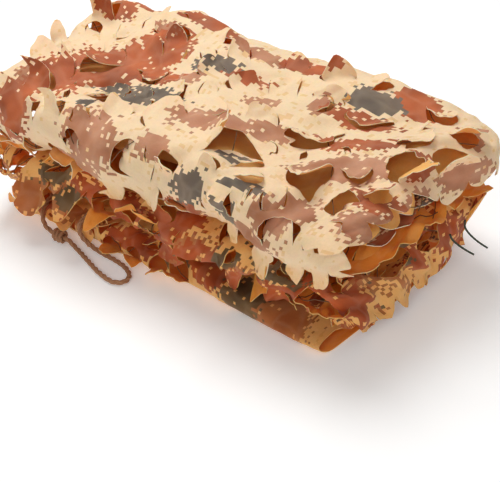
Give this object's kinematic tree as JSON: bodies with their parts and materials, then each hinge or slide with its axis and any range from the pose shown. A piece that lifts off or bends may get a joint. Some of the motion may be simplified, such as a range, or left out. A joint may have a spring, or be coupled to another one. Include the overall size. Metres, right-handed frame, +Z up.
{
  "type": "camouflage net",
  "caption": "Camouflage net folded into a thick rectangular bundle of leaf-cut cloth, with its edge rope looped out at the front and loose ends of thread at one end.",
  "frame": {"origin": "middle of the folded cloth's footprint, leaves included, on the surface it rests on", "axes": "+X along the long front edge towards the end with the loose threads, -Y towards the front with the rope, +Z up"},
  "size_m": [0.5881, 0.2893, 0.2112],
  "materials": {
    "printed_cloth": "matt printed polyester cloth in desert colours, plain ochre on its back",
    "brown_rope": "matt twisted synthetic cord",
    "dark_thread": "dull dark green thread"
  },
  "bodies": {
    "root": {"net_cloth": "printed_cloth", "edge_rope": "brown_rope", "rope_knot": "brown_rope", "tie_thread_1": "dark_thread", "tie_thread_2": "dark_thread"}
  },
  "joints": []
}
